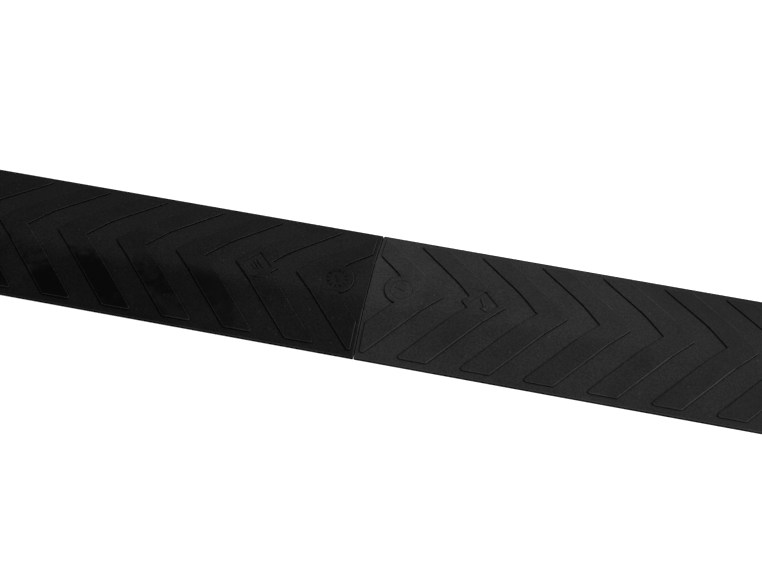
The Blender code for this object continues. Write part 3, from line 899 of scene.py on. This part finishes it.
for master in (bush, plug, dowel):
    smooth(master)
for side, shift in (("left", left_place), ("right", right_place)):
    half, cap = side + "_half", side + "_plug"
    node = side + "_anchor_bush"
    install(bush, side + "_bush", half, node, zinc, shift)
    install(plug, side + "_cap", cap, side + "_anchor_plug", plug_rubber, shift)
for side, y in (("front", -DOWEL_AXIS_Y), ("rear", DOWEL_AXIS_Y)):
    node = side + "_joint_dowel"
    shift = Vector((0.0, y, DOWEL_AXIS_Z))
    install(dowel, side + "_dowel", "left_half", node, zinc, shift)
for master in (module, bush, plug, dowel):
    bpy.data.objects.remove(master)

# ---------------------------------------------------------------------------------------------
# Stage: a plain white floor that is bright in itself and throws no light back on the rubber, a
# soft key light from the right, soft lights behind and above, and the camera, a little to the
# right of the joint and looking down on it.
# ---------------------------------------------------------------------------------------------

VIEW_TURN = math.radians(10.0523)
VIEW_HEIGHT = math.radians(55.0361)
VIEW_ROLL = math.radians(1.7801)
VIEW_DISTANCE = 1.45843
VIEW_RIGHT = 0.011972  # how far the camera stands off the line to the joint
VIEW_ABOVE = 0.015797
LENS = 69.414
FLOOR_SIZE = 12
FLOOR_DROP = 0.0002
FLOOR_GLOW = 0.9
WORLD_GLOW = 0.02

flat = math.cos(VIEW_HEIGHT)
back = Vector((math.sin(VIEW_TURN) * flat, -math.cos(VIEW_TURN) * flat, math.sin(VIEW_HEIGHT)))
level = Vector((0, 0, 1)).cross(back).normalized()
upward = back.cross(level)
right = math.cos(VIEW_ROLL) * level + math.sin(VIEW_ROLL) * upward
above = math.cos(VIEW_ROLL) * upward - math.sin(VIEW_ROLL) * level
place = back * VIEW_DISTANCE + right * VIEW_RIGHT + above * VIEW_ABOVE
data = bpy.data.cameras.new("camera")
data.lens = LENS
camera = bpy.data.objects.new("camera", data)
bpy.context.scene.collection.objects.link(camera)
camera.matrix_world = Matrix((
    (right.x, above.x, back.x, place.x),
    (right.y, above.y, back.y, place.y),
    (right.z, above.z, back.z, place.z),
    (0, 0, 0, 1)))
bpy.context.scene.camera = camera
for name in ("Cube", "Light", "Camera"):
    if name in bpy.data.objects:
        bpy.data.objects.remove(bpy.data.objects[name])

bpy.ops.object.select_all(action="DESELECT")
bpy.ops.mesh.primitive_plane_add(size=FLOOR_SIZE, location=(0, 0, -FLOOR_DROP))
floor = bpy.context.object
floor.name = "floor"
pale = bpy.data.materials.new("pale_floor")
pale.use_nodes = True
paper = pale.node_tree.nodes["Principled BSDF"]
paper.inputs["Base Color"].default_value = (0.9, 0.9, 0.9, 1)
paper.inputs["Roughness"].default_value = 0.9
paper.inputs["Emission Color"].default_value = (1, 1, 1, 1)
paper.inputs["Emission Strength"].default_value = FLOOR_GLOW
floor.data.materials.append(pale)
floor.visible_diffuse = False
floor.visible_glossy = False


def softbox(name, place, aim, size, energy):
    """A soft light at a place, facing the point it is aimed at."""
    data = bpy.data.lights.new(name, "AREA")
    data.shape = "RECTANGLE"
    data.size, data.size_y = size
    data.energy = energy
    light = bpy.data.objects.new(name, data)
    bpy.context.scene.collection.objects.link(light)
    light.location = place
    light.rotation_euler = (Vector(place) - Vector(aim)).to_track_quat("Z", "Y").to_euler()
    return light


def around(turn, height, distance):
    """A place at a distance from the joint: 0 is in front, 90 to the right, 180 behind."""
    turn, height = math.radians(turn), math.radians(height)
    flat = distance * math.cos(height)
    return (flat * math.sin(turn), -flat * math.cos(turn), distance * math.sin(height))


JOINT_FOOT = (0.0, 0.0, 0.0)
BOX_DISTANCE = 2.0
BOX_SIZE = (1.0, 0.7)
softbox("key_right", around(90, 35, BOX_DISTANCE), JOINT_FOOT, BOX_SIZE, 20)
softbox("rear_low", around(180, 15, BOX_DISTANCE), JOINT_FOOT, BOX_SIZE, 2.8)
softbox("rear_high", around(180, 55, BOX_DISTANCE), JOINT_FOOT, BOX_SIZE, 3.2)
softbox("rear_left", around(210, 50, BOX_DISTANCE), JOINT_FOOT, BOX_SIZE, 4.2)
softbox("overhead", (0.4, -0.5, 1.5), (0.4, -0.5, 0.0), (0.7, 0.7), 2.2)
world = bpy.data.worlds.new("studio")
bpy.context.scene.world = world
world.use_nodes = True
glow = world.node_tree.nodes["Background"]
glow.inputs["Color"].default_value = (1, 1, 1, 1)
glow.inputs["Strength"].default_value = WORLD_GLOW
bpy.context.scene.view_settings.view_transform = "Standard"
